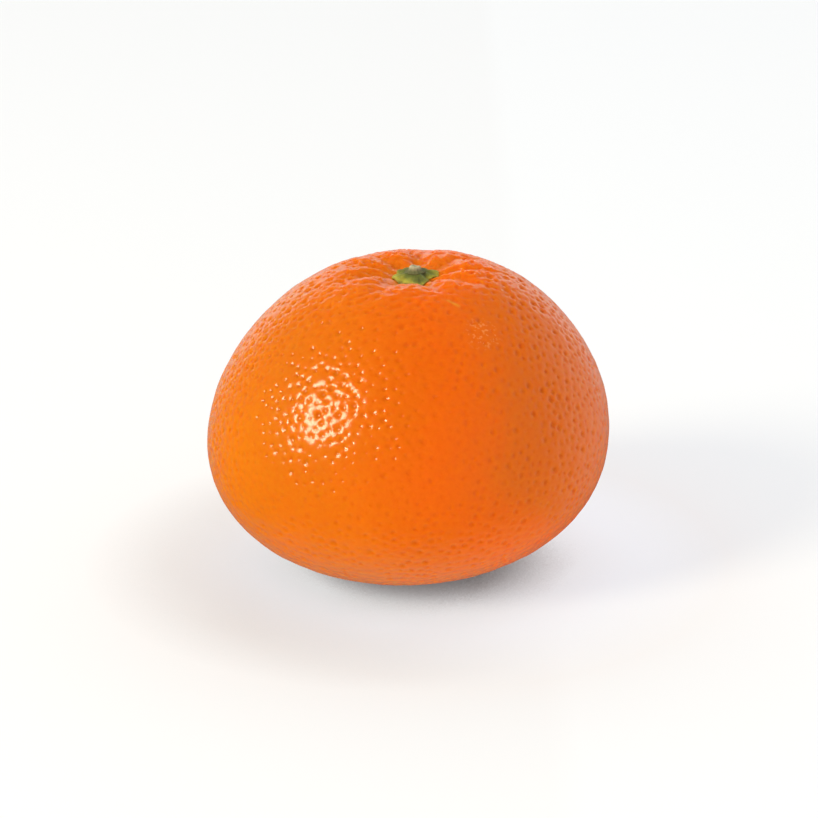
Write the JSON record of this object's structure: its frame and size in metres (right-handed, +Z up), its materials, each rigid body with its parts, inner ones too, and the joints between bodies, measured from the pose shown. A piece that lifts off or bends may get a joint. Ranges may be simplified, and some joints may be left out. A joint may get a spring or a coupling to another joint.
{
  "type": "mandarin",
  "caption": "Ripe mandarin orange, a squat round citrus fruit with pitted glossy rind, a puckered stem dimple and a small green calyx with a stub of stem.",
  "frame": {"origin": "middle of the fruit's plan outline, on the surface that it stands on", "axes": "+Z up towards the stem, +X to the right and -Y towards the viewer as pictured"},
  "size_m": [0.0624, 0.0624, 0.0481],
  "materials": {
    "rind": "waxy, glossy citrus rind with shallow oil gland pits",
    "calyx": "matt green sepals, browner where they have dried",
    "stem": "dry, rough broken stem end"
  },
  "bodies": {
    "root": {"fruit": "rind", "calyx": "calyx", "stem_stub": "stem"}
  },
  "joints": []
}
